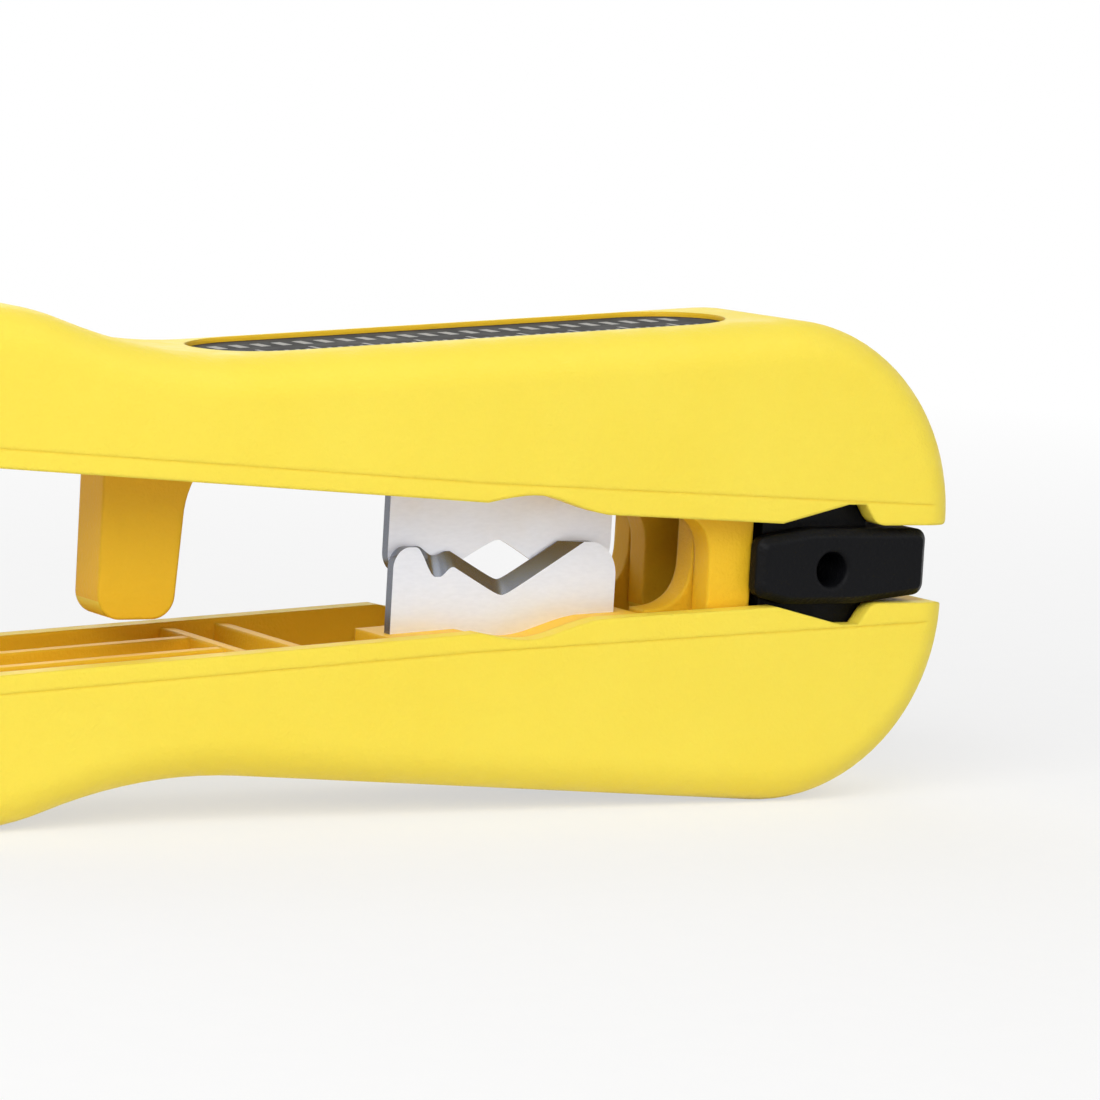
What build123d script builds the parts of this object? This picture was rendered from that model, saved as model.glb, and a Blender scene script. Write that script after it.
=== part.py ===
from build123d import *
from math import acos, cos, degrees, radians, sin, tan
import os

# Small hand tool that strips solar cable: two moulded arms joined by a black hinge block.
# X runs along the tool with the nose at +X, Z is up, and the near side is at -Y.
# Heights are given as "half": the distance from the plane midway between the two arms.
# The arms are mirror images across that plane, so one profile serves both.

# Overall size
length = 100.0
width = 20.0
nose_x = length / 2
tail_x = -length / 2

# Outer curve of an arm
nose_radius = 17.4
nose_centre_half = 3.7
taper_angle = 4.13
tail_radius = 6.0
flare_radius = 22.0
waist_radius = 43.0
edge_round = 3.4

# Walls of the arms
wall = 1.8
nose_solid = 8.4
rim_round = 2.6
nub_round = 1.7

# Inner edge of an arm, from the tail to the nose
tail_rim_half = 8.7
jaw_start_x = nose_x - 48.4
jaw_start_half = 5.5
jaw_length = 11.8
jaw_end_x = jaw_start_x + jaw_length
jaw_end_half = 4.45
jaw_depth = 0.58
rim_end_x = nose_x - 18.8
rim_end_half = 3.65
notch_x = nose_x - 12.0
notch_half = 5.3
nub_top_x = nose_x - 10.2
nub_foot_x = nose_x - 8.9
nub_half = 3.45

# Fine parting groove on both sides of an arm, a little away from the inner edge
groove_offset = 1.5
groove_width = 0.18
groove_depth = 0.08
groove_nose_half = 4.95

# Ribs and guide pocket inside the lower arm
rib_thickness = 1.2
rib_drop = 0.5
pocket_width = 5.2
pocket_end_x = nose_x - 68.0
cross_rib_x = pocket_end_x + 5.1

# Guide tongue on the upper arm
tongue_width = 4.4
tongue_length = 7.4
tongue_x = pocket_end_x - rib_thickness - 10.9
tongue_reach = 5.0
tongue_lean = 0.6
tongue_round = 2.0
tongue_flare = 1.5

# Guide lugs beside the hinge
spring_room = 5.2
lug_gap = 0.3
lug_right_x = nose_x - 20.5
lug_width = 4.3
lug_reach = 6.0
lug_root = 4.6

# Hinge block
block_gap = 0.3
bar_left_x = nose_x - 20.9
bar_right_x = nose_x - 3.2
bar_height = 6.6
bar_drop = 0.2
bar_hole_drop = 0.45
bar_end_height = 5.0
bar_round = 1.1
bar_bevel = 0.7
lug_swing = 1.0
core_left_x = lug_right_x + lug_swing
core_right_x = nose_x - nose_solid - block_gap
core_height = 11.6
wing_radius = 3.3
wing_inset = 2.5
lanyard_x = nose_x - 13.3
lanyard_radius = 1.55
lanyard_chamfer = 0.25

# Pivot pins and the cheeks that hold them
pivot_x = nose_x - 15.5
pivot_half = 9.6
pin_radius = 1.5
pin_fit = 0.05
cheek_thickness = 2.4
cheek_width = 7.6
cheek_start_half = 6.5

# Torsion springs on the pins
spring_wire = 0.9
spring_radius = 2.35
spring_turns = 2.5
spring_reach = 9.0
spring_gap = 0.2
spring_sides = 6

# Blades
blade_left_x = nose_x - 54.5
blade_length = 21.85
blade_right_x = blade_left_x + blade_length
blade_thickness = 1.0
blade_inset = 4.7
blade_gap = 0.1
blade_root_half = 13.0
vee_x = blade_left_x + 10.35
vee_depth = 1.67
vee_angle = 33.5
blade_flat = 1.58
blade_ridge = 0.66
bevel_width = 1.25
bevel_land = 0.15
bevel_reach = 3.0
nick_inset = 1.4
nick_width = 3.0
lobe_round = 0.8
corner_round = 0.22

# Blade carriers
carrier_left_x = blade_left_x - 1.0
carrier_right_x = blade_right_x + 1.65
carrier_gap = 0.3
carrier_back = 2.2
carrier_floor_gap = 0.3
rivet_radius = 1.2
rivet_head_radius = 1.9
rivet_head = 0.6
rivet_spacing = 13.0
rivet_half = 10.6

# Label plate on the upper arm
label_length = 50.7
label_width = 12.4
label_x = nose_x - 46.2
label_thickness = 0.4
label_depth = 0.8
label_fit = 0.1

# Worked out from the sizes above
inner_y = width / 2 - wall
lug_thickness = (inner_y - spring_room / 2) / 2 - lug_gap
wing_thickness = inner_y - cheek_thickness - 0.5 - wing_inset
blade_front_y = blade_inset - width / 2
carrier_back_y = blade_front_y + 2 * blade_thickness + blade_gap + carrier_back
taper = tan(radians(taper_angle))
nose_arc_x = nose_x - nose_radius
crown_x = nose_arc_x - nose_radius * sin(radians(taper_angle))
crown_half = nose_centre_half + nose_radius * cos(radians(taper_angle))
mid_height = nose_centre_half + nose_radius
sides = {"lower": -1, "upper": 1}
# The tail flares away from the waist through two tangent arcs that run into the straight back.
arc_sum = flare_radius + waist_radius
arc_drop = (
    mid_height - crown_half - taper * (tail_x + tail_radius - crown_x)
    - taper * waist_radius * sin(radians(taper_angle))
    + waist_radius * (1 - cos(radians(taper_angle)))
)
flare_turn = degrees(acos(cos(radians(taper_angle)) * (1 - arc_drop / arc_sum))) - taper_angle
waist_x = tail_x + tail_radius + arc_sum * sin(radians(flare_turn))
waist_half = mid_height - arc_sum * (1 - cos(radians(flare_turn)))


def level(half, side):
    """Height above the ground of a point at this distance from the middle plane."""
    return mid_height + side * half


def outer_half(x):
    """Outer face of an arm along its straight stretch."""
    return crown_half + taper * (x - crown_x)


def rim_half(x):
    """Inner edge of an arm between the tail and the jaw, or between the jaw and the hinge."""
    if x < jaw_end_x:
        share = (x - tail_x) / (jaw_start_x - tail_x)
        return tail_rim_half + share * (jaw_start_half - tail_rim_half)
    share = (x - jaw_end_x) / (rim_end_x - jaw_end_x)
    return jaw_end_half + share * (rim_end_half - jaw_end_half)


def across(y):
    """Plane seen from the near side at this place across the width. Extruding comes nearer."""
    return Plane.XZ.offset(-y)


def outer_outline(side):
    """Side view of an arm before its inner edge is cut: tail, waist, back and nose."""
    tail_corner = (tail_x, level(mid_height - tail_radius, side))
    tail_foot = (tail_x + tail_radius, level(mid_height, side))
    back_end = (crown_x, level(crown_half, side))
    with BuildSketch() as outline:
        with BuildLine():
            nose_mid_angle = radians((90 + taper_angle) / 2)
            nose_mid = (
                nose_arc_x + nose_radius * cos(nose_mid_angle),
                level(nose_centre_half + nose_radius * sin(nose_mid_angle), side),
            )
            nose_end = (nose_x, level(nose_centre_half, side))
            Line((tail_x, mid_height), tail_corner)
            TangentArc([tail_corner, tail_foot], tangent=(0, side))
            flare = JernArc(tail_foot, (1, 0), flare_radius, -side * flare_turn)
            waist = JernArc(flare @ 1, flare % 1, waist_radius, side * (flare_turn + taper_angle))
            Line(waist @ 1, back_end)
            ThreePointArc(back_end, nose_mid, nose_end)
            Line(nose_end, (nose_x, mid_height))
            Line((nose_x, mid_height), (tail_x, mid_height))
        make_face()
    return outline.sketch_local


def gap_outline(side):
    """Everything between the middle plane and the inner edge of an arm."""
    jaw_mid = jaw_start_x + 0.45 * (jaw_end_x - jaw_start_x)
    far = 1.0
    with BuildSketch() as gap:
        with BuildLine():
            tail_skin = (tail_x, level(tail_rim_half + rim_round, side))
            tail_rim = (tail_x + rim_round, level(rim_half(tail_x + rim_round), side))
            nose_rim = (nose_x - nub_round, level(nub_half, side))
            nose_skin = (nose_x, level(nub_half + nub_round, side))
            jaw_start = (jaw_start_x, level(jaw_start_half, side))
            jaw_bottom = (jaw_mid, level(jaw_start_half + jaw_depth, side))
            jaw_end = (jaw_end_x, level(jaw_end_half, side))
            TangentArc([tail_skin, tail_rim], tangent=(0, -side))
            Line(tail_rim, jaw_start)
            Spline(
                jaw_start,
                jaw_bottom,
                jaw_end,
                tangents=[(1, side * 0.2), (1, -side * 0.15)],
            )
            Polyline(
                jaw_end,
                (rim_end_x, level(rim_end_half, side)),
                (notch_x, level(notch_half, side)),
                (nub_top_x, level(notch_half, side)),
                (nub_foot_x, level(nub_half, side)),
                nose_rim,
            )
            TangentArc([nose_rim, nose_skin], tangent=(1, 0))
            Polyline(
                nose_skin,
                (nose_x + far, level(nub_half + nub_round, side)),
                (nose_x + far, mid_height - side * far),
                (tail_x - far, mid_height - side * far),
                (tail_x - far, level(tail_rim_half + rim_round, side)),
                tail_skin,
            )
        make_face()
    return gap.sketch_local


def groove_outline(side):
    """Side view of the parting groove, which runs the whole length of an arm beside its inner edge."""
    tail_half = rim_half(tail_x) + groove_offset
    bend_half = rim_half(jaw_start_x) + groove_offset
    with BuildSketch() as groove:
        with BuildLine():
            Polyline(
                (tail_x - 1, level(tail_half, side)),
                (jaw_start_x, level(bend_half, side)),
                (nose_x + 1, level(groove_nose_half, side)),
                (nose_x + 1, level(groove_nose_half + groove_width, side)),
                (jaw_start_x, level(bend_half + groove_width, side)),
                (tail_x - 1, level(tail_half + groove_width, side)),
                close=True,
            )
        make_face()
    return groove.sketch_local


def arm_shell(side):
    """One moulded arm: rounded outside, open channel inside, pin cheeks near the nose."""
    outline = outer_outline(side)
    gap = gap_outline(side)
    groove = groove_outline(side)
    with BuildPart() as shell:
        with BuildSketch(across(width / 2)):
            add(outline)
        extrude(amount=width)
        rims = shell.edges().filter_by(
            lambda e: abs(abs((e @ 0.5).Y) - width / 2) < 0.001 and abs((e @ 0.5).Z - mid_height) > 0.01
        )
        fillet(rims, edge_round)
        with BuildSketch(across(width)):
            add(gap)
        extrude(amount=2 * width, mode=Mode.SUBTRACT)
        nub_corners = shell.edges().filter_by(Axis.Y).filter_by(
            lambda e: abs((e @ 0.5).X - nub_foot_x) < 0.01
        )
        fillet(nub_corners, nub_round)
        for face_y in (-width / 2, width / 2):
            with BuildSketch(across(face_y + groove_depth)):
                add(groove)
            extrude(amount=2 * groove_depth, mode=Mode.SUBTRACT)
        cheek_depth = mid_height - cheek_start_half
        cheek_half = cheek_start_half + cheek_depth / 2
        for reach, cheek_mode in (
            (inner_y, Mode.SUBTRACT),
            (inner_y - cheek_thickness, Mode.INTERSECT),
        ):
            with BuildSketch(across(reach)):
                add(outline)
                offset(amount=-wall, kind=Kind.INTERSECTION)
                with Locations((nose_x, mid_height)):
                    Rectangle(2 * nose_solid, 4 * mid_height, mode=Mode.SUBTRACT)
                with Locations((pivot_x, level(cheek_half, side))):
                    Rectangle(cheek_width, cheek_depth, mode=cheek_mode)
            extrude(amount=2 * reach, mode=Mode.SUBTRACT)
        snap_width = 2 * pin_radius * 0.86
        with BuildSketch(across(0)):
            with Locations((pivot_x, level(pivot_half, side))):
                Circle(pin_radius + pin_fit)
            with Locations((pivot_x, level((pivot_half + cheek_start_half) / 2 - 1, side))):
                Rectangle(snap_width, pivot_half - cheek_start_half + 2)
        extrude(amount=inner_y, both=True, mode=Mode.SUBTRACT)
    return shell.part


def lug_outline(side):
    """Side view of a guide lug that grows out of one arm and reaches past the middle plane."""
    left_x = lug_right_x - lug_width
    root_half = outer_half(lug_right_x) - wall / 2
    flare_half = rim_half(left_x - lug_root) + lug_gap
    with BuildSketch() as lug:
        with BuildLine():
            tip = (left_x, level(-lug_reach, side))
            waist = (left_x, level(0, side))
            flare = (left_x - lug_root, level(flare_half, side))
            Polyline(
                flare,
                (left_x - lug_root, level(root_half - lug_root * taper, side)),
                (lug_right_x, level(root_half, side)),
                (lug_right_x, level(-lug_reach, side)),
                tip,
                waist,
            )
            Spline(waist, flare, tangents=[(0, side), (-1, 0)])
        make_face()
        tips = lug.vertices().filter_by(lambda v: abs(v.Y - level(-lug_reach, side)) < 0.01)
        fillet(tips, lug_thickness / 2)
    return lug.sketch_local


def lug_starts(side):
    """Near faces of the two lugs of an arm. The lugs of the two arms lie side by side."""
    outer_lug = inner_y - lug_gap - lug_thickness
    inner_lug = outer_lug - lug_gap - lug_thickness
    first = -outer_lug - lug_thickness if side > 0 else -inner_lug - lug_thickness
    second = inner_lug if side > 0 else outer_lug
    return (first, second)


def make_bare_arm(side):
    """An arm with its guide lugs, before its own ribs, tongue or label recess."""
    shell = arm_shell(side)
    lug = lug_outline(side)
    with BuildPart() as bare:
        add(shell)
        for start in lug_starts(side):
            with BuildSketch(across(start + lug_thickness)):
                add(lug)
            extrude(amount=lug_thickness)
    return bare.part


def make_lower_arm():
    side = sides["lower"]
    bare = make_bare_arm(side)
    with BuildPart() as arm:
        add(bare)
        # Ribs that stiffen the tail and make the pocket for the guide tongue.
        with BuildSketch(across(0)):
            with BuildLine():
                Polyline(
                    (tail_x + wall, level(rim_half(tail_x + wall) + rib_drop, side)),
                    (pocket_end_x, level(rim_half(pocket_end_x) + rib_drop, side)),
                    (pocket_end_x, level(waist_half - wall / 2, side)),
                    (waist_x, level(waist_half - wall / 2, side)),
                    (tail_x + wall, level(waist_half - wall / 2, side)),
                    close=True,
                )
            make_face()
        extrude(amount=pocket_width / 2 + rib_thickness, both=True)
        with BuildSketch(across(0)):
            with BuildLine():
                Polyline(
                    (tail_x + wall, mid_height),
                    (pocket_end_x - rib_thickness, mid_height),
                    (pocket_end_x - rib_thickness, level(waist_half - wall, side)),
                    (tail_x + wall, level(waist_half - wall, side)),
                    close=True,
                )
            make_face()
        extrude(amount=pocket_width / 2, both=True, mode=Mode.SUBTRACT)
        for rib_x in (pocket_end_x, cross_rib_x):
            with BuildSketch(across(0)):
                with BuildLine():
                    Polyline(
                        (rib_x - rib_thickness, level(rim_half(rib_x) + rib_drop, side)),
                        (rib_x, level(rim_half(rib_x) + rib_drop, side)),
                        (rib_x, level(waist_half - wall / 2, side)),
                        (rib_x - rib_thickness, level(waist_half - wall / 2, side)),
                        close=True,
                    )
                make_face()
            extrude(amount=inner_y + wall / 4, both=True)
    arm.part.label = "lower_arm"
    export_step(arm.part, "parts/lower_arm.step")
    return arm.part


def make_upper_arm():
    side = sides["upper"]
    bare = make_bare_arm(side)
    with BuildPart() as arm:
        add(bare)
        # Guide tongue that drops into the pocket of the lower arm.
        tongue_end_x = tongue_x + tongue_length
        flare_start_half = rim_half(tongue_end_x) - 2 * tongue_flare
        with BuildSketch(across(0)) as tongue:
            with BuildLine():
                start = (tongue_end_x, level(flare_start_half, side))
                flare_end = (tongue_end_x + tongue_flare, level(rim_half(tongue_end_x) + tongue_flare / 2, side))
                TangentArc([start, flare_end], tangent=(0.12, side))
                Polyline(
                    flare_end,
                    (tongue_end_x + tongue_flare, level(outer_half(tongue_x) - wall / 2, side)),
                    (tongue_x, level(outer_half(tongue_x) - wall / 2, side)),
                    (tongue_x, level(-tongue_reach, side)),
                    (tongue_end_x - tongue_lean, level(-tongue_reach, side)),
                    start,
                )
            make_face()
            ends = tongue.vertices().filter_by(lambda v: abs(v.Y - level(-tongue_reach, side)) < 0.01)
            fillet(ends, tongue_round)
        extrude(amount=tongue_width / 2, both=True)
        # Shallow recess for the label plate, cut square to the sloping back.
        with BuildSketch(label_plane().offset(-label_depth)):
            SlotOverall(label_length + 2 * label_fit, label_width + 2 * label_fit)
        extrude(amount=label_depth + wall, mode=Mode.SUBTRACT)
    arm.part.label = "upper_arm"
    export_step(arm.part, "parts/upper_arm.step")
    return arm.part


def label_plane():
    """Plane that lies on the back of the upper arm at the middle of the label."""
    centre = (label_x, 0, level(outer_half(label_x), sides["upper"]))
    slope = radians(taper_angle)
    return Plane(origin=centre, x_dir=(cos(slope), 0, sin(slope)), z_dir=(-sin(slope), 0, cos(slope)))


def make_label():
    with BuildPart() as plate:
        # The plate rests on the floor of its recess, well below the skin of the arm.
        with BuildSketch(label_plane().offset(-label_depth)):
            SlotOverall(label_length, label_width)
        extrude(amount=label_thickness)
    plate.part.label = "label_plate"
    export_step(plate.part, "parts/label_plate.step")
    return plate.part


def bar_outline():
    """Side view of the bar: rounded ends, and a lower edge that rises to both of them."""
    top = mid_height - bar_drop + bar_height / 2
    bottom = top - bar_height
    shrink = (bar_height - bar_end_height) / 2
    with BuildSketch() as bar:
        with BuildLine():
            Polyline(
                (bar_left_x, bottom + shrink),
                (lanyard_x - 4 * bar_round, bottom),
                (lanyard_x + 2.5 * bar_round, bottom),
                (bar_right_x, bottom + shrink),
                (bar_right_x, top),
                (lanyard_x - 2 * bar_round, top),
                (bar_left_x, top - shrink),
                close=True,
            )
        make_face()
        ends = bar.vertices().group_by(Axis.X)[0] + bar.vertices().group_by(Axis.X)[-1]
        fillet(ends, bar_round)
    return bar.sketch_local


def make_hinge_block():
    """Black block between the arms: a bar with a lanyard hole, a core and four wings."""
    bar = bar_outline()
    with BuildPart() as block:
        # The core fills the notch between the arms, inside their side walls.
        with BuildSketch(across(0)):
            with BuildLine():
                Polyline(
                    (core_left_x, level(core_height / 2, -1)),
                    (core_right_x, level(core_height / 2, -1)),
                    (core_right_x, level(core_height / 2, 1)),
                    (core_left_x, level(core_height / 2, 1)),
                    close=True,
                )
            make_face()
        extrude(amount=inner_y - block_gap, both=True)
        with BuildSketch(across(width / 2)):
            add(bar)
        extrude(amount=width)
        # Between its two side plates the bar stops short, to leave room for the lugs.
        with BuildSketch(across(0)):
            with Locations(((bar_left_x + core_left_x) / 2 - 1, mid_height)):
                Rectangle(core_left_x - bar_left_x + 2, core_height)
        extrude(amount=inner_y + lug_gap / 2, both=True, mode=Mode.SUBTRACT)
        # Wings that carry the two pivot pins.
        wing_y = wing_inset + wing_thickness / 2
        for near in (-1, 1):
            with BuildSketch(across(near * wing_y)):
                for side in sides.values():
                    with Locations((pivot_x, level(pivot_half, side))):
                        Circle(wing_radius)
                    with Locations((pivot_x, level(pivot_half / 2, side))):
                        Rectangle(2 * wing_radius, pivot_half)
            extrude(amount=wing_thickness / 2, both=True)
        outer_edges = block.edges().filter_by(lambda e: abs(abs((e @ 0.5).Y) - width / 2) < 0.001)
        chamfer(outer_edges, bar_bevel)
        with BuildSketch(across(0)):
            for side in sides.values():
                with Locations((pivot_x, level(pivot_half, side))):
                    Circle(pin_radius)
            with Locations((lanyard_x, mid_height - bar_hole_drop)):
                Circle(lanyard_radius)
        extrude(amount=width, both=True, mode=Mode.SUBTRACT)
        hole_rims = block.edges().filter_by(GeomType.CIRCLE).filter_by(
            lambda e: abs(abs(e.arc_center.Y) - width / 2) < 0.001 and abs(e.arc_center.X - lanyard_x) < 0.01
        )
        chamfer(hole_rims, lanyard_chamfer)
    block.part.label = "hinge_block"
    export_step(block.part, "parts/hinge_block.step")
    return block.part


def make_pivot_pin(name):
    """Steel pin pressed through the wings, with the arm turning on its two ends."""
    side = sides[name]
    with BuildPart() as pin:
        with BuildSketch(across(0)):
            with Locations((pivot_x, level(pivot_half, side))):
                Circle(pin_radius)
        extrude(amount=inner_y - pin_fit, both=True)
        ends = pin.edges().filter_by(GeomType.CIRCLE)
        chamfer(ends, 0.3)
    pin.part.label = f"{name}_pivot_pin"
    export_step(pin.part, f"parts/{name}_pivot_pin.step")
    return pin.part


def blade_point(x, rise, side):
    """A point of a blade, with its rise measured past the middle plane."""
    return (x, level(-rise, side))


def make_blade(name):
    """Flat steel blade with a bevelled vee, a small notch beside it and rounded shoulders."""
    side = sides[name]
    slope = tan(radians(vee_angle))
    vee_flat = 0.55
    left_run = (vee_depth + blade_ridge) / slope
    right_run = (vee_depth + blade_flat) / slope
    ridge_x = vee_x - vee_flat - left_run
    crest_x = vee_x + vee_flat + right_run
    vee = [
        blade_point(ridge_x, blade_ridge, side),
        blade_point(vee_x - vee_flat, -vee_depth, side),
        blade_point(vee_x + vee_flat, -vee_depth, side),
        blade_point(crest_x, blade_flat, side),
    ]
    front = blade_front_y if side < 0 else blade_front_y + blade_thickness + blade_gap
    middle = front + blade_thickness / 2
    with BuildPart() as blade:
        with BuildSketch(across(middle)) as outline:
            with BuildLine():
                Polyline(
                    blade_point(blade_left_x, -blade_root_half, side),
                    blade_point(blade_left_x, -0.9, side),
                    blade_point(blade_left_x + 1.0, 0.78, side),
                    blade_point(ridge_x - 2.4, 0.78, side),
                    blade_point(ridge_x - 1.7, 0.05, side),
                    blade_point(ridge_x - 1.1, 0.05, side),
                    blade_point(ridge_x - 0.7, blade_ridge, side),
                    *vee,
                    blade_point(blade_right_x - 1.7, blade_flat, side),
                    blade_point(blade_right_x - 0.4, blade_flat - 1.1, side),
                    blade_point(blade_right_x, blade_flat - 3.4, side),
                    blade_point(blade_right_x, -blade_root_half, side),
                    close=True,
                )
            make_face()
            lobe_corners = outline.vertices().filter_by(
                lambda v: v.X < blade_left_x + 1.1 and abs(v.Y - mid_height) < 3
            )
            fillet(lobe_corners, lobe_round)
            sharp_corners = outline.vertices().filter_by(
                lambda v: v.X > blade_left_x + 1.9 and side * (mid_height - v.Y) > -3
            )
            fillet(sharp_corners, corner_round)
        extrude(amount=blade_thickness / 2, both=True)
        # The bevels are ground on the face that looks away from the other blade.
        run_out = (vee_depth + bevel_reach) / slope
        opening = [
            blade_point(vee_x - vee_flat - run_out, bevel_reach, side),
            blade_point(vee_x - vee_flat, -vee_depth, side),
            blade_point(vee_x + vee_flat, -vee_depth, side),
            blade_point(vee_x + vee_flat + run_out, bevel_reach, side),
        ]
        nick_x = ridge_x - nick_inset
        nick_edge = [
            blade_point(nick_x - nick_width / 2, bevel_reach, side),
            blade_point(nick_x, 0, side),
            blade_point(nick_x + nick_width / 2, bevel_reach, side),
        ]
        nick_face = [
            blade_point(nick_x - nick_width, bevel_reach, side),
            blade_point(nick_x + nick_width / 5, -bevel_width, side),
            blade_point(nick_x + nick_width, bevel_reach, side),
        ]
        edge_y = middle - side * (blade_thickness / 2 - bevel_land)
        face_y = middle + side * blade_thickness / 2
        with BuildSketch(across(edge_y)):
            with BuildLine():
                Polyline(*opening, close=True)
            make_face()
        with BuildSketch(across(face_y)):
            with BuildLine():
                Polyline(*opening, close=True)
            make_face()
            offset(amount=bevel_width, kind=Kind.INTERSECTION)
        loft(ruled=True, mode=Mode.SUBTRACT)
        for place_y, corners in ((edge_y, nick_edge), (face_y, nick_face)):
            with BuildSketch(across(place_y)):
                with BuildLine():
                    Polyline(*corners, close=True)
                make_face()
        loft(ruled=True, mode=Mode.SUBTRACT)
        with BuildSketch(across(0)):
            for place in (-0.5, 0.5):
                with Locations((rivet_x(place), level(rivet_half, side))):
                    Circle(rivet_radius)
        extrude(amount=width, both=True, mode=Mode.SUBTRACT)
    blade.part.label = f"{name}_blade"
    export_step(blade.part, f"parts/{name}_blade.step")
    return blade.part


def rivet_x(place):
    """Middle of a rivet, as a share of the spacing to each side of the blade's centre."""
    return (blade_left_x + blade_right_x) / 2 + place * rivet_spacing


def carrier_outline(side):
    """Side view of a carrier: its top follows the inner edge of the arm just below the rim."""
    floor = carrier_floor_gap + wall
    with BuildSketch() as face:
        with BuildLine():
            Polyline(
                (carrier_left_x, level(jaw_start_half - 1, side)),
                (carrier_right_x, level(jaw_end_half - 2, side)),
                (carrier_right_x, level(outer_half(carrier_right_x) - floor, side)),
                (carrier_left_x, level(outer_half(carrier_left_x) - floor, side)),
                close=True,
            )
        make_face()
    return face.sketch_local


def make_carrier(name):
    """Moulded block that clamps the root of a blade and drops into the channel of its arm."""
    side = sides[name]
    front = blade_front_y if side < 0 else blade_front_y + blade_thickness + blade_gap
    near_y = -inner_y + carrier_gap
    outline = carrier_outline(side)
    gap = gap_outline(side).moved(Location((0, side * rib_drop / 2)))
    with BuildPart() as carrier:
        with BuildSketch(across(carrier_back_y)):
            add(outline)
        extrude(amount=carrier_back_y - near_y)
        with BuildSketch(across(width)):
            add(gap)
        extrude(amount=2 * width, mode=Mode.SUBTRACT)
        slot_half = (blade_root_half + jaw_start_half) / 2
        slot_depth = blade_root_half - jaw_start_half + 4
        with BuildSketch(across(front + blade_thickness / 2)):
            with Locations(((blade_left_x + blade_right_x) / 2, level(slot_half - 2, side))):
                Rectangle(blade_right_x - blade_left_x, slot_depth)
        extrude(amount=blade_thickness / 2, both=True, mode=Mode.SUBTRACT)
        with BuildSketch(across(0)):
            for place in (-0.5, 0.5):
                with Locations((rivet_x(place), level(rivet_half, side))):
                    Circle(rivet_radius)
        extrude(amount=width, both=True, mode=Mode.SUBTRACT)
    carrier.part.label = f"{name}_blade_carrier"
    export_step(carrier.part, f"parts/{name}_blade_carrier.step")
    return carrier.part


def make_rivets(name):
    """Two rivets that pin a blade into its carrier."""
    side = sides[name]
    near_y = -inner_y + carrier_gap
    with BuildPart() as rivets:
        with BuildSketch(across(carrier_back_y)):
            for place in (-0.5, 0.5):
                with Locations((rivet_x(place), level(rivet_half, side))):
                    Circle(rivet_radius)
        extrude(amount=carrier_back_y - near_y)
        with BuildSketch(across(carrier_back_y)):
            for place in (-0.5, 0.5):
                with Locations((rivet_x(place), level(rivet_half, side))):
                    Circle(rivet_head_radius)
        extrude(amount=-rivet_head)
    rivets.part.label = f"{name}_blade_rivets"
    export_step(rivets.part, f"parts/{name}_blade_rivets.step")
    return rivets.part


def make_spring(name):
    """Torsion spring round a pivot pin, with one leg against the block and one along the arm.

    The hidden wire is drawn with few sides, which keeps the coil light.
    """
    side = sides["lower"]
    pitch = spring_wire * 1.25
    start_y = -pitch * spring_turns / 2
    centre = Vector(pivot_x, start_y, level(pivot_half, side))
    with BuildLine() as coil:
        Helix(pitch, pitch * spring_turns, spring_radius, center=centre, direction=(0, 1, 0))
    start = coil.line @ 0
    end = coil.line @ 1
    leg_x = pivot_x - spring_reach
    floor_half = outer_half(leg_x) - wall - spring_wire / 2 - spring_gap
    arm_tip = Vector(leg_x, end.Y, level(floor_half, side))
    block_tip = Vector(start.X, start.Y, level(core_height / 2 + spring_wire / 2 + spring_gap, side))
    with BuildPart() as spring:
        with BuildSketch(Plane(origin=start, z_dir=coil.line % 0)):
            RegularPolygon(spring_wire / 2, spring_sides)
        sweep(path=coil.line, is_frenet=True)
        for root, tip in ((end, arm_tip), (start, block_tip)):
            run = tip - root
            with BuildSketch(Plane(origin=root, z_dir=run)):
                RegularPolygon(spring_wire / 2, spring_sides)
            extrude(amount=run.length)
        if name == "upper":
            mirror(about=Plane.XY.offset(mid_height), mode=Mode.REPLACE)
    spring.part.label = f"{name}_spring"
    export_step(spring.part, f"parts/{name}_spring.step")
    return spring.part


os.makedirs("parts", exist_ok=True)
make_lower_arm()
make_upper_arm()
make_label()
make_hinge_block()
for arm_name in sides:
    make_pivot_pin(arm_name)
    make_blade(arm_name)
    make_carrier(arm_name)
    make_rivets(arm_name)
    make_spring(arm_name)
print("arms meet at height", mid_height)
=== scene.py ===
import math

import bmesh
import bpy
from mathutils import Matrix, Vector


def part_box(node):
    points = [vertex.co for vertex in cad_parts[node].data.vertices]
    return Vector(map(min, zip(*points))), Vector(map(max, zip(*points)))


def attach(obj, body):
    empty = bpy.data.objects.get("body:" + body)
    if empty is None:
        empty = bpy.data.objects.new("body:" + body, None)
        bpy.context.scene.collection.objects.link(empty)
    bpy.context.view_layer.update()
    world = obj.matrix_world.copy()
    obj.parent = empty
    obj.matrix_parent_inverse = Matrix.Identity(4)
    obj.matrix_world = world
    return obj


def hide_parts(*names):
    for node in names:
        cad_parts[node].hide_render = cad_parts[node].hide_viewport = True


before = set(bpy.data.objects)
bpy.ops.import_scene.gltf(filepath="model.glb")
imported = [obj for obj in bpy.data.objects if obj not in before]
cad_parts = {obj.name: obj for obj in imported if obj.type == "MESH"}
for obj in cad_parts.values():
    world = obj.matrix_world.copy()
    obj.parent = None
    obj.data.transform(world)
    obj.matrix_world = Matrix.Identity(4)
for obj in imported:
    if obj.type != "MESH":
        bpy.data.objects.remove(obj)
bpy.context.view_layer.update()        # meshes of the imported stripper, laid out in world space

mm = 0.001
print("frame loaded:", len(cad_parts), "nodes")


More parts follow.
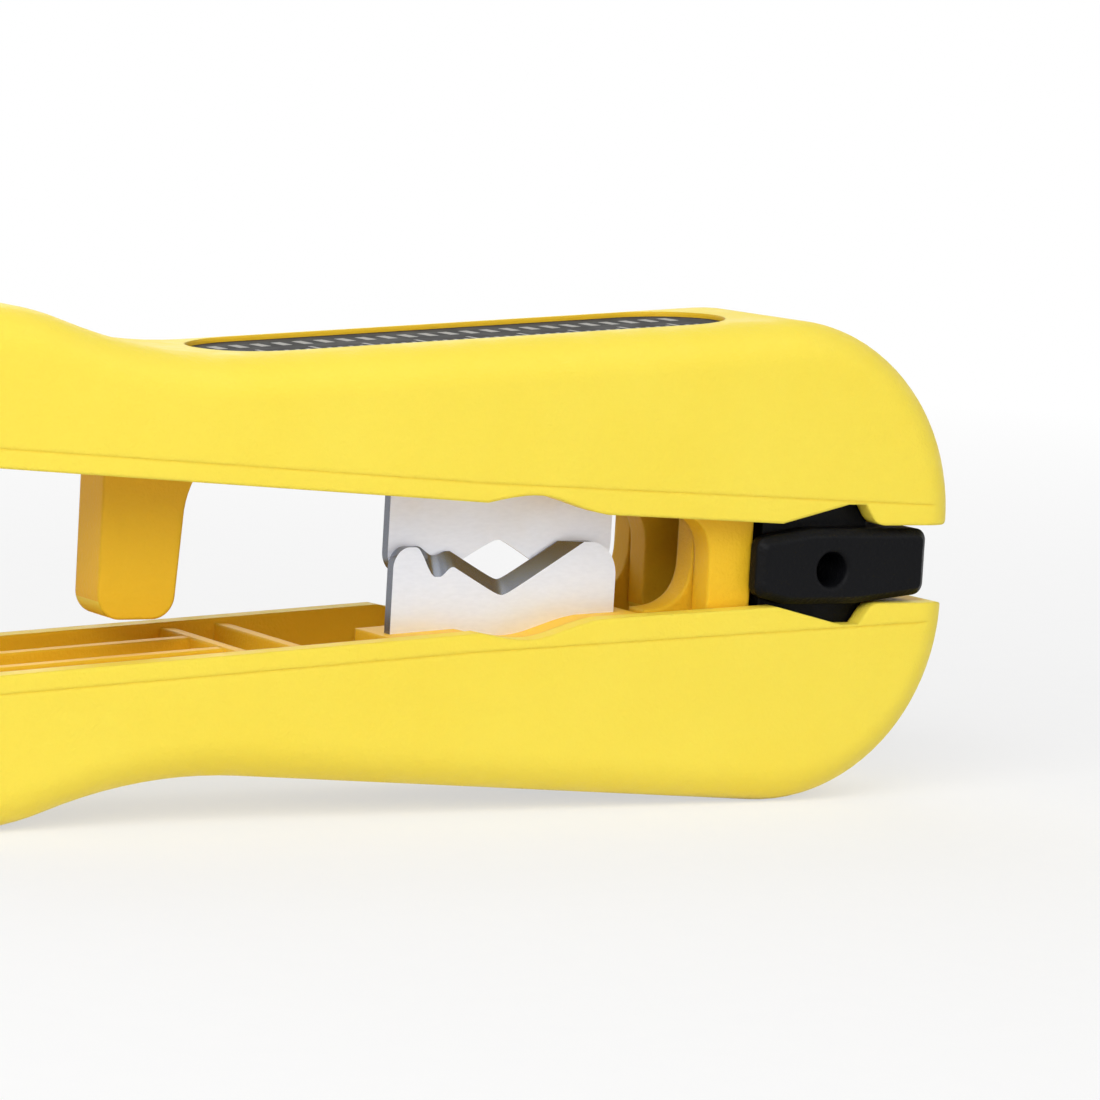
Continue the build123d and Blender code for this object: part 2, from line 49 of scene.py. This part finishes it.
# camera: low on the near side, from the tail end, with the tool slightly turned in the picture
cameraSettings = {
    "turn": 31.00,         # degrees towards the tail
    "rise": 6.42,
    "roll": 3.34,
    "distance": 0.4097,
    "target": (0.0138, 0.0, 0.02027),
    "lens": 154.9,
    "sensorWidth": 36,
    "shiftRight": 0.0010,
    "shiftUp": 0.0109,
    "nearest": 0.01,
}


def makeCamera(s):
    turn, rise, roll = (math.radians(s[k]) for k in ("turn", "rise", "roll"))
    level = math.cos(rise)
    forward = Vector((math.sin(turn) * level, math.cos(turn) * level, -math.sin(rise)))
    right = Vector((math.cos(turn), -math.sin(turn), 0))
    up = right.cross(forward)
    rolledRight = math.cos(roll) * right + math.sin(roll) * up
    rolledUp = -math.sin(roll) * right + math.cos(roll) * up
    data = bpy.data.cameras.new("viewCamera")
    data.lens = s["lens"]
    data.sensor_width = s["sensorWidth"]
    data.shift_x = s["shiftRight"]
    data.shift_y = s["shiftUp"]
    data.clip_start = s["nearest"]
    camera = bpy.data.objects.new("viewCamera", data)
    bpy.context.scene.collection.objects.link(camera)
    place = Matrix((rolledRight, rolledUp, -forward)).transposed().to_4x4()
    place.translation = Vector(s["target"]) - forward * s["distance"]
    camera.matrix_world = place
    bpy.context.scene.camera = camera


makeCamera(cameraSettings)
print("camera placed")


# small helpers for the node trees
def newMaterial(name):
    made = bpy.data.materials.new(name)
    made.use_nodes = True
    nodes = made.node_tree.nodes
    nodes.clear()
    output = nodes.new("ShaderNodeOutputMaterial")
    shader = nodes.new("ShaderNodeBsdfPrincipled")
    made.node_tree.links.new(shader.outputs[0], output.inputs[0])
    return made, nodes, made.node_tree.links, shader


def noiseNode(nodes, links, coords, scale, detail, rough=0.5):
    node = nodes.new("ShaderNodeTexNoise")
    node.inputs["Scale"].default_value = scale
    node.inputs["Detail"].default_value = detail
    node.inputs["Roughness"].default_value = rough
    links.new(coords, node.inputs["Vector"])
    return node.outputs["Fac"]


def axesOf(nodes, links, vector):
    node = nodes.new("ShaderNodeSeparateXYZ")
    links.new(vector, node.inputs[0])
    return node.outputs["X"], node.outputs["Y"], node.outputs["Z"]


def mathNode(nodes, links, operation, first, second=0):
    node = nodes.new("ShaderNodeMath")
    node.operation = operation
    for index, value in enumerate((first, second)):
        if isinstance(value, (int, float)):
            node.inputs[index].default_value = value
        else:
            links.new(value, node.inputs[index])
    return node.outputs[0]


def mixColor(nodes, links, mask, first, second):
    node = nodes.new("ShaderNodeMix")
    node.data_type = "RGBA"
    links.new(mask, node.inputs["Factor"])
    for index, value in ((6, first), (7, second)):      # the two colour sockets
        if isinstance(value, tuple):
            node.inputs[index].default_value = value
        else:
            links.new(value, node.inputs[index])
    return node.outputs[2]


def rampNode(nodes, links, source, spread, lowColor, highColor):
    node = nodes.new("ShaderNodeValToRGB")
    for element, position, color in zip(node.color_ramp.elements, spread, (lowColor, highColor)):
        element.position = position
        element.color = color
    links.new(source, node.inputs[0])
    return node.outputs["Color"]


def bumpNode(nodes, links, height, strength, depth):
    node = nodes.new("ShaderNodeBump")
    node.inputs["Strength"].default_value = strength
    node.inputs["Distance"].default_value = depth
    links.new(height, node.inputs["Height"])
    return node


def grey(value):
    return (value, value, value, 1)


# moulded plastics: colour drifts a little, spark-eroded grain, soft edges
plasticSettings = {
    "yellowPlastic": {
        "edgeRadius": 0.00045,
        "color": (0.97, 0.775, 0.082, 1),
        "deepColor": (0.96, 0.75, 0.07, 1),
        "rough": (0.42, 0.56),
        "specular": 0.26,
        "grainScale": 3200,
        "grainDepth": 0.00007,
        "grainStrength": 0.85,
        "subsurface": 0.08,
        "innerShadeColor": (0.93, 0.565, 0.022, 1),    # painted shade: faces inside the arms are coloured a darker amber, where shade falls
        "innerRough": 0.5,
        "innerHalf": 0.0083,     # inside: this far to both sides and ends of the tool
        "innerReach": 0.048,
        "innerLean": 0.25,       # and not turned outwards by more than this
        "middle": 0.0211,        # height of the plane between the arms
    },
    "blackPlastic": {
        "edgeRadius": 0.0004,
        "color": (0.0045, 0.0048, 0.006, 1),
        "deepColor": (0.003, 0.0032, 0.004, 1),
        "rough": (0.36, 0.52),
        "specular": 0.1,
        "grainScale": 2300,
        "grainDepth": 0.00009,
        "grainStrength": 0.9,
        "subsurface": 0.0,
    },
    "labelGrey": {
        "edgeRadius": 0.0001,
        "color": (0.026, 0.0255, 0.023, 1),
        "deepColor": (0.021, 0.0205, 0.019, 1),
        "rough": (0.5, 0.62),
        "specular": 0.03,
        "markColor": (0.42, 0.41, 0.38, 1),
        "grainScale": 5200,
        "grainDepth": 0.00002,
        "grainStrength": 0.25,
        "subsurface": 0.0,
    },
}
plasticTexture = {
    "driftScale": 60,
    "driftDetail": 3,
    "driftSpread": (0.3, 0.7),
    "hazeScale": 420,
    "hazeDetail": 4,
    "hazeSpread": (0.35, 0.65),
    "grainDetail": 2,
    "grainRough": 0.6,
    "edgeSamples": 6,
    "lightBleed": (0.0012, 0.0007, 0.0002),    # how far red, green and blue spread in the plastic
}


# plain strip-length scale on the label: fine ticks, long ticks and a row of bars, in metres
labelScale = {
    "centre": 0.0038,
    "reach": 0.0225,
    "rows": [
        # share of the pitch that is printed, and where a row starts and ends across the label
        {"pitch": 0.0010, "share": 0.40, "near": -0.0042, "far": -0.0024},
        {"pitch": 0.0050, "share": 0.08, "near": -0.0024, "far": -0.0010},
        {"pitch": 0.0020, "share": 0.45, "near": 0.0010, "far": 0.0034},
    ],
}


def scaleMarks(nodes, links, coords, s):
    alongLabel, acrossLabel = axesOf(nodes, links, coords.outputs["Object"])[:2]
    offset = mathNode(nodes, links, "SUBTRACT", alongLabel, s["centre"])
    distance = mathNode(nodes, links, "ABSOLUTE", offset)
    inside = mathNode(nodes, links, "LESS_THAN", distance, s["reach"])
    shown = None
    for row in s["rows"]:
        place = mathNode(nodes, links, "PINGPONG", offset, row["pitch"] / 2)
        bars = mathNode(nodes, links, "LESS_THAN", place, row["pitch"] * row["share"] / 2)
        above = mathNode(nodes, links, "GREATER_THAN", acrossLabel, row["near"])
        under = mathNode(nodes, links, "LESS_THAN", acrossLabel, row["far"])
        between = mathNode(nodes, links, "MULTIPLY", above, under)
        band = mathNode(nodes, links, "MULTIPLY", bars, between)
        shown = band if shown is None else mathNode(nodes, links, "MAXIMUM", shown, band)
    return mathNode(nodes, links, "MULTIPLY", shown, inside)


# painted shade mask: faces inside the arms that are not turned outwards from the middle plane
def innerShadeMask(nodes, links, coords, s):
    x, y, z = axesOf(nodes, links, coords.outputs["Object"])
    facingUp = axesOf(nodes, links, coords.outputs["Normal"])[2]
    half = mathNode(nodes, links, "SIGN", mathNode(nodes, links, "SUBTRACT", z, s["middle"]))
    outward = mathNode(nodes, links, "MULTIPLY", half, facingUp)
    tests = [
        mathNode(nodes, links, "LESS_THAN", mathNode(nodes, links, "ABSOLUTE", y), s["innerHalf"]),
        mathNode(nodes, links, "LESS_THAN", mathNode(nodes, links, "ABSOLUTE", x), s["innerReach"]),
        mathNode(nodes, links, "LESS_THAN", outward, s["innerLean"]),
    ]
    both = mathNode(nodes, links, "MULTIPLY", tests[0], tests[1])
    return mathNode(nodes, links, "MULTIPLY", both, tests[2])


def mouldedPlastic(name, s, t):
    made, nodes, links, shader = newMaterial(name)
    coords = nodes.new("ShaderNodeTexCoord")
    place = coords.outputs["Object"]
    drift = noiseNode(nodes, links, place, t["driftScale"], t["driftDetail"])
    tone = rampNode(nodes, links, drift, t["driftSpread"], s["deepColor"], s["color"])
    haze = noiseNode(nodes, links, place, t["hazeScale"], t["hazeDetail"])
    low, high = s["rough"]
    rough = rampNode(nodes, links, haze, t["hazeSpread"], grey(low), grey(high))
    if "markColor" in s:
        marks = scaleMarks(nodes, links, coords, labelScale)
        tone = mixColor(nodes, links, marks, tone, s["markColor"])
    # painted shade: faces inside the arms take a darker amber colour, and their own roughness
    if "innerShadeColor" in s:
        paintedInnerShade = innerShadeMask(nodes, links, coords, s)
        tone = mixColor(nodes, links, paintedInnerShade, tone, s["innerShadeColor"])
        rough = mixColor(nodes, links, paintedInnerShade, rough, grey(s["innerRough"]))
    links.new(tone, shader.inputs["Base Color"])
    links.new(rough, shader.inputs["Roughness"])
    shader.inputs["Specular IOR Level"].default_value = s["specular"]
    edge = nodes.new("ShaderNodeBevel")
    edge.samples = t["edgeSamples"]
    edge.inputs["Radius"].default_value = s["edgeRadius"]
    grain = noiseNode(nodes, links, place, s["grainScale"], t["grainDetail"], t["grainRough"])
    bump = bumpNode(nodes, links, grain, s["grainStrength"], s["grainDepth"])
    links.new(edge.outputs[0], bump.inputs["Normal"])
    links.new(bump.outputs[0], shader.inputs["Normal"])
    shader.inputs["Subsurface Weight"].default_value = s["subsurface"]
    shader.inputs["Subsurface Radius"].default_value = t["lightBleed"]
    shader.inputs["Subsurface Scale"].default_value = 1.0
    return made


# steels: fine grinding lines along one direction, with faint handling marks
steelSettings = {
    "bladeSteel": {
        "color": (0.87, 0.895, 0.985, 1),
        "darkColor": (0.825, 0.85, 0.94, 1),
        "rough": (0.34, 0.5),
        "metallic": 0.45,
        "cutShadeColor": (0.185, 0.20, 0.235, 1),      # painted shade: ground bevels and sheared edges are coloured darker, standing in for the dark parts they reflect
        "cutSide": 0.97,       # a face that looks less sideways than this counts as cut
        "cutMetallic": 0.8,
        "cutRough": 0.27,
        "stretch": (1400, 2200, 4200),
        "lineDepth": 0.0000015,
    },
    "pinSteel": {
        "color": (0.55, 0.55, 0.56, 1),
        "darkColor": (0.40, 0.40, 0.41, 1),
        "rough": (0.25, 0.4),
        "metallic": 1.0,
        "stretch": (900, 200, 900),
        "lineDepth": 0.000006,
    },
    "springSteel": {
        "color": (0.42, 0.42, 0.44, 1),
        "darkColor": (0.28, 0.28, 0.30, 1),
        "rough": (0.3, 0.45),
        "metallic": 1.0,
        "stretch": (700, 700, 700),
        "lineDepth": 0.000005,
    },
}
steelTexture = {
    "lineDetail": 4,
    "lineSpread": (0.3, 0.72),
    "lineStrength": 0.4,
    "smearScale": 260,
    "smearDetail": 5,
    "smearRough": 0.6,
    "smearSpread": (0.3, 0.7),
}


def groundSteel(name, s, t):
    made, nodes, links, shader = newMaterial(name)
    coords = nodes.new("ShaderNodeTexCoord")
    stretched = nodes.new("ShaderNodeMapping")
    stretched.inputs["Scale"].default_value = s["stretch"]
    links.new(coords.outputs["Object"], stretched.inputs["Vector"])
    lines = noiseNode(nodes, links, stretched.outputs["Vector"], 1, t["lineDetail"])
    tone = rampNode(nodes, links, lines, t["lineSpread"], s["darkColor"], s["color"])
    smear = noiseNode(
        nodes, links, coords.outputs["Object"], t["smearScale"], t["smearDetail"], t["smearRough"]
    )
    low, high = s["rough"]
    rough = rampNode(nodes, links, smear, t["smearSpread"], grey(low), grey(high))
    shader.inputs["Metallic"].default_value = s["metallic"]
    if "cutShadeColor" in s:
        # cut faces turn away from the flat sides of the plate
        sideways = axesOf(nodes, links, coords.outputs["Normal"])[1]
        away = mathNode(nodes, links, "ABSOLUTE", sideways)
        cut = mathNode(nodes, links, "LESS_THAN", away, s["cutSide"])
        # painted shade: cut faces take the darker colour
        tone = mixColor(nodes, links, cut, tone, s["cutShadeColor"])
        rough = mixColor(nodes, links, cut, rough, grey(s["cutRough"]))
        gain = mathNode(nodes, links, "MULTIPLY", cut, s["cutMetallic"] - s["metallic"])
        metal = mathNode(nodes, links, "ADD", gain, s["metallic"])
        links.new(metal, shader.inputs["Metallic"])
    links.new(tone, shader.inputs["Base Color"])
    links.new(rough, shader.inputs["Roughness"])
    bump = bumpNode(nodes, links, lines, t["lineStrength"], s["lineDepth"])
    links.new(bump.outputs[0], shader.inputs["Normal"])
    return made


finishes = {}
for finishName, settings in plasticSettings.items():
    finishes[finishName] = mouldedPlastic(finishName, settings, plasticTexture)
for finishName, settings in steelSettings.items():
    finishes[finishName] = groundSteel(finishName, settings, steelTexture)
print("finishes made:", len(finishes))

nodeFinish = {
    "lower_arm": "yellowPlastic",
    "upper_arm": "yellowPlastic",
    "lower_blade_carrier": "yellowPlastic",
    "upper_blade_carrier": "yellowPlastic",
    "hinge_block": "blackPlastic",
    "lower_blade": "bladeSteel",
    "upper_blade": "bladeSteel",
    "lower_pivot_pin": "pinSteel",
    "upper_pivot_pin": "pinSteel",
    "lower_blade_rivets": "pinSteel",
    "upper_blade_rivets": "pinSteel",
    "lower_spring": "springSteel",
    "upper_spring": "springSteel",
    "label_plate": "labelGrey",
}
for nodeName, finishName in nodeFinish.items():
    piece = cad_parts[nodeName]
    piece.data.materials.clear()
    piece.data.materials.append(finishes[finishName])
print("frame pieces finished")


# blades: the flat steel plates of the frame with the round shoulders, the gouged nick
# and the ground vee of the real ones; millimetres along the plate and past the middle plane
bladeSettings = {
    "rootDepth": 13.0,
    "cornerWidth": 1.5,      # left shoulder
    "cornerFoot": -0.6,
    "lobeTop": 1.2,
    "nickFall": ((2.6, 4.2), (2.1, 4.1)),     # cutting side, then ground side
    "nickDepth": (0.38, -1.32),
    "nickRise": ((4.3, 5.5), (4.5, 5.7)),
    "veeCentre": 10.6,
    "veeDepth": (-1.67, -2.92),
    "veeSlopes": (0.56, 0.60),      # left side, then right side
    "veeRound": 0.45,
    "ridge": 5.85,
    "flatTop": 1.57,
    "shoulderStart": 19.2,
    "shoulderFoot": -1.4,
    "land": 0.15,      # left unground along the cutting edge
    "leftSteps": 10,
    "lobeSteps": 28,
    "veeSteps": 16,
    "rightSteps": 12,
    "creaseAngle": 25,
}


def easeStep(value, start, end):
    t = min(max((value - start) / (end - start), 0.0), 1.0)
    return t * t * (3 - 2 * t)


def bladeProfile(s, length, ground):
    k = 1 if ground else 0
    centre, depth, rounding = s["veeCentre"], s["veeDepth"][k], s["veeRound"]
    leftSlope, rightSlope = s["veeSlopes"]
    points = []
    for i in range(s["leftSteps"] + 1):      # left shoulder
        turn = math.pi * (1 - i / s["leftSteps"] / 2)
        rise = (s["lobeTop"] - s["cornerFoot"]) * math.sin(turn)
        points.append((s["cornerWidth"] * (1 + math.cos(turn)), s["cornerFoot"] + rise))
    far = centre - s["ridge"]
    ridgeTop = depth + leftSlope * (math.hypot(far, rounding) - rounding)
    for i in range(1, s["lobeSteps"] + 1):      # lobe, nick and ridge
        x = s["cornerWidth"] + (s["ridge"] - s["cornerWidth"]) * i / s["lobeSteps"]
        fall = easeStep(x, *s["nickFall"][k])
        rise = easeStep(x, *s["nickRise"][k])
        y = s["lobeTop"] + (s["nickDepth"][k] - s["lobeTop"]) * fall
        points.append((x, y + (ridgeTop - s["nickDepth"][k]) * rise))
    for i in range(1, s["veeSteps"] + 1):      # left side of the vee, closer together near its foot
        x = s["ridge"] + far * math.sin(math.pi / 2 * i / s["veeSteps"])
        gap = math.hypot(centre - x, rounding) - rounding
        points.append((x, depth + leftSlope * gap))
    reach = math.sqrt(((s["flatTop"] - depth) / rightSlope + rounding) ** 2 - rounding ** 2)
    for i in range(1, s["veeSteps"] + 1):      # right side of the vee
        x = reach * (1 - math.cos(math.pi / 2 * i / s["veeSteps"]))
        gap = math.hypot(x, rounding) - rounding
        points.append((centre + x, depth + rightSlope * gap))
    for i in range(s["rightSteps"] + 1):      # right shoulder
        turn = math.pi / 2 * (1 - i / s["rightSteps"])
        rise = (s["flatTop"] - s["shoulderFoot"]) * math.sin(turn)
        width = (length - s["shoulderStart"]) * math.cos(turn)
        points.append((s["shoulderStart"] + width, s["shoulderFoot"] + rise))
    points.append((length, -s["rootDepth"]))
    points.append((0.0, -s["rootDepth"]))
    return points


def makeBlade(node, body, s, turned):
    low, high = (Vector(corner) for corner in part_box(node))
    length = (high.x - low.x) / mm
    middle = high.z - s["rootDepth"] * mm if turned else low.z + s["rootDepth"] * mm
    cutSide, groundSide = (low.y, high.y) if turned else (high.y, low.y)
    land = s["land"] * mm * (1 if turned else -1)
    layers = [(cutSide, False), (cutSide + land, False), (groundSide, True)]
    upward = -1 if turned else 1
    shape = bmesh.new()
    rings = []
    for y, ground in layers:
        ring = []
        for along, rise in bladeProfile(s, length, ground):
            corner = (low.x + along * mm, y, middle + upward * rise * mm)
            ring.append(shape.verts.new(corner))
        rings.append(ring)
    for first, second in zip(rings, rings[1:]):
        for i in range(len(first)):
            j = (i + 1) % len(first)
            shape.faces.new((first[i], first[j], second[j], second[i]))
    for ring in (rings[0], rings[-1]):
        bmesh.ops.triangulate(shape, faces=[shape.faces.new(ring)])
    bmesh.ops.recalc_face_normals(shape, faces=shape.faces)
    mesh = bpy.data.meshes.new(node + "_ground")
    shape.to_mesh(mesh)
    shape.free()
    mesh.shade_smooth()
    mesh.set_sharp_from_angle(angle=math.radians(s["creaseAngle"]))
    blade = bpy.data.objects.new(node + "_ground", mesh)
    bpy.context.scene.collection.objects.link(blade)
    mesh.materials.append(finishes["bladeSteel"])
    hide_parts(node)
    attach(blade, body)


# the upper blade is the lower one turned over
nodeBody = {"lower_blade": ("lower_arm", False), "upper_blade": ("upper_arm", True)}
for nodeName, (bodyName, turned) in nodeBody.items():
    makeBlade(nodeName, bodyName, bladeSettings, turned)
print("blades ground")


# pale floor, white background and soft studio light
studioSettings = {
    "floorSize": 14.0,
    "floorColor": (0.90, 0.90, 0.90, 1),
    "fibreColor": (0.8865, 0.8865, 0.8865, 1),
    "fibreScale": 300,
    "fibreDetail": 3,
    "fibreSpread": (0.3, 0.7),
    "floorRough": 0.9,
    "whiteNear": 0.6,       # share of white that the camera sees beside the tool
    "fadeStart": 0.12,
    "fadeEnd": 0.5,
    "worldStrength": 0.3,
    "lampSize": 0.5,
    "lampAim": (0.01, 0, 0.02),
    "lamps": {
        "keyLamp": {"place": (-0.42, -0.4, 0.42), "power": 3.6},
        "fillLamp": {"place": (0.35, -0.45, 0.55), "power": 1.0},
        "backLamp": {"place": (0.1, 0.5, 0.4), "power": 1.0},
    },
}


def seenRays(nodes, links):
    path = nodes.new("ShaderNodeLightPath")
    mirrored = mathNode(
        nodes, links, "MAXIMUM", path.outputs["Is Glossy Ray"], path.outputs["Is Transmission Ray"]
    )
    return mathNode(nodes, links, "MAXIMUM", path.outputs["Is Camera Ray"], mirrored)


def makeFloor(s):
    mesh = bpy.data.meshes.new("studioFloor")
    reach = s["floorSize"] / 2
    corners = [(-reach, -reach, 0), (reach, -reach, 0), (reach, reach, 0), (-reach, reach, 0)]
    mesh.from_pydata(corners, [], [(0, 1, 2, 3)])
    floor = bpy.data.objects.new("studioFloor", mesh)
    bpy.context.scene.collection.objects.link(floor)
    made, nodes, links, shader = newMaterial("floorPaper")
    place = nodes.new("ShaderNodeTexCoord").outputs["Object"]
    fibre = noiseNode(nodes, links, place, s["fibreScale"], s["fibreDetail"])
    tone = rampNode(nodes, links, fibre, s["fibreSpread"], s["fibreColor"], s["floorColor"])
    links.new(tone, shader.inputs["Base Color"])
    shader.inputs["Roughness"].default_value = s["floorRough"]
    away = nodes.new("ShaderNodeVectorMath")
    away.operation = "LENGTH"
    links.new(place, away.inputs[0])
    fade = nodes.new("ShaderNodeMapRange")
    fade.inputs["From Min"].default_value = s["fadeStart"]
    fade.inputs["From Max"].default_value = s["fadeEnd"]
    fade.inputs["To Min"].default_value = s["whiteNear"]
    links.new(away.outputs["Value"], fade.inputs["Value"])
    share = mathNode(nodes, links, "MULTIPLY", fade.outputs["Result"], seenRays(nodes, links))
    white = nodes.new("ShaderNodeEmission")
    blend = nodes.new("ShaderNodeMixShader")
    links.new(share, blend.inputs[0])
    links.new(shader.outputs[0], blend.inputs[1])
    links.new(white.outputs[0], blend.inputs[2])
    links.new(blend.outputs[0], nodes["Material Output"].inputs[0])
    mesh.materials.append(made)


def makeLamps(s):
    for name, lampSettings in s["lamps"].items():
        data = bpy.data.lights.new(name, "AREA")
        data.shape = "SQUARE"
        data.size = s["lampSize"]
        data.energy = lampSettings["power"]
        lamp = bpy.data.objects.new(name, data)
        bpy.context.scene.collection.objects.link(lamp)
        lamp.location = lampSettings["place"]
        direction = Vector(s["lampAim"]) - Vector(lampSettings["place"])
        lamp.rotation_euler = direction.to_track_quat("-Z", "Y").to_euler()


def makeWorld(s):
    world = bpy.data.worlds.new("studioWorld")
    bpy.context.scene.world = world
    world.use_nodes = True
    nodes = world.node_tree.nodes
    links = world.node_tree.links
    nodes.clear()
    output = nodes.new("ShaderNodeOutputWorld")
    background = nodes.new("ShaderNodeBackground")
    strength = nodes.new("ShaderNodeMapRange")      # plain for the lighting, white where it is seen
    strength.inputs["To Min"].default_value = s["worldStrength"]
    strength.inputs["To Max"].default_value = 1.0
    links.new(seenRays(nodes, links), strength.inputs["Value"])
    links.new(strength.outputs["Result"], background.inputs["Strength"])
    background.inputs["Color"].default_value = grey(1)
    links.new(background.outputs[0], output.inputs[0])


makeFloor(studioSettings)
makeLamps(studioSettings)
makeWorld(studioSettings)
bpy.context.scene.view_settings.view_transform = "Standard"
print("studio ready")
